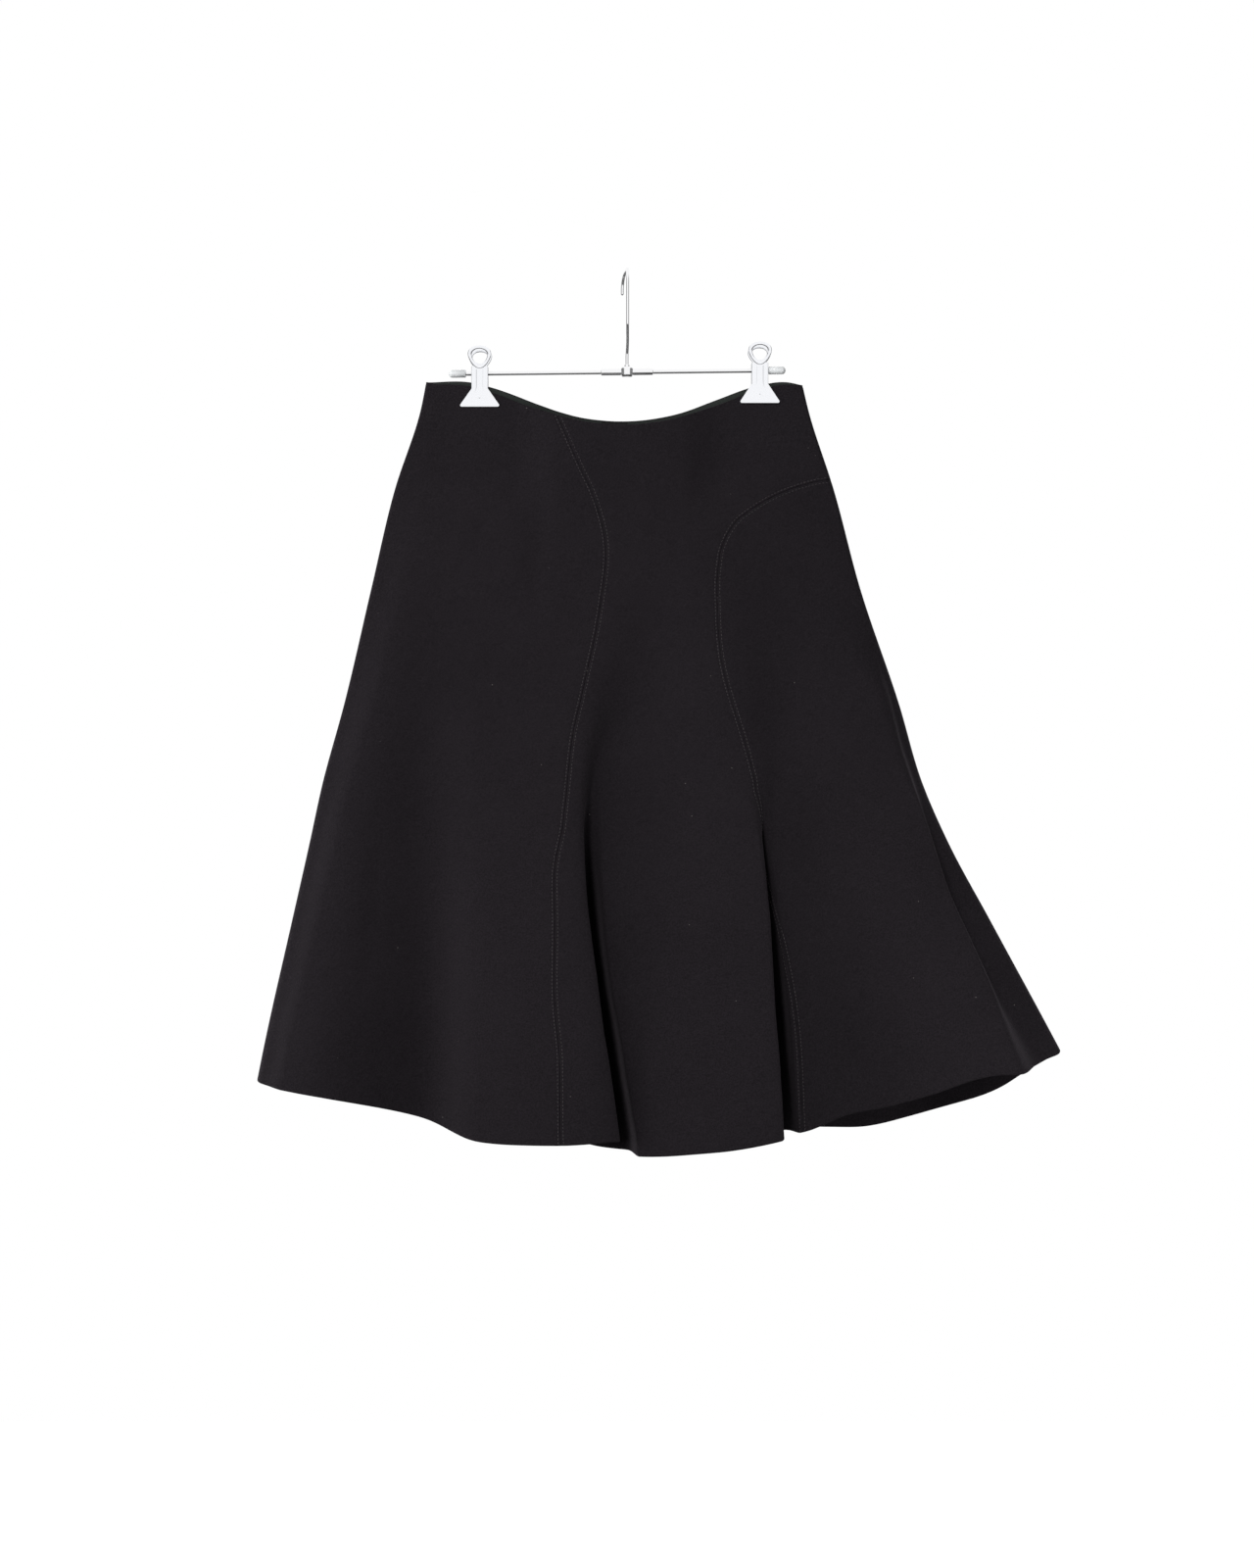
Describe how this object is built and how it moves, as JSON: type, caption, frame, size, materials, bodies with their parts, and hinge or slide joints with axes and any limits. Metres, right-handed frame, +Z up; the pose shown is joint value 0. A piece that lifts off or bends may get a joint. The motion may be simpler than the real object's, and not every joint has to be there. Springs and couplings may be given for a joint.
{
  "type": "a-line skirt on a clip hanger",
  "caption": "Flared wool skirt with curved front seams, a turned hem and a back zip, hung by its waist from the clips of a metal hanger.",
  "frame": {"origin": "inner crown of the hanger's hook, where a rail carries it", "axes": "+Z up, -Y out of the skirt's front, +X to the right of someone who faces its front"},
  "size_m": [0.7711, 0.1567, 0.8419],
  "materials": {
    "wool": "near-black napped wool",
    "facing": "greenish-grey woven facing",
    "zip_tape": "black woven tape",
    "steel": "plated steel",
    "bar_cap": "pale grey plastic"
  },
  "bodies": {
    "skirt_and_hanger": {"front_left_panel": "wool", "front_centre_panel": "wool", "front_right_panel": "wool", "back_left_panel": "wool", "back_right_panel": "wool", "back_left_facing": "facing", "back_right_facing": "facing", "zip_tape": "zip_tape", "zip_slider": "steel", "hanger_bar": "steel", "bar_cap_left": "bar_cap", "bar_cap_right": "bar_cap", "hanger_sleeve": "steel", "hanger_hook": "steel", "clip_left_front_leaf": "steel", "clip_left_back_leaf": "steel", "clip_left_spring": "steel", "clip_right_front_leaf": "steel", "clip_right_back_leaf": "steel", "clip_right_spring": "steel"},
    "pull": {"zip_pull": "steel"}
  },
  "joints": [
    {"name": "zip_pull_swing", "type": "hinge", "parent": "skirt_and_hanger", "child": "pull", "pos_m": [-0.01194, 0.01681, -0.15872], "axis": [1, 0, 0], "range_deg": [0, 170]}
  ]
}
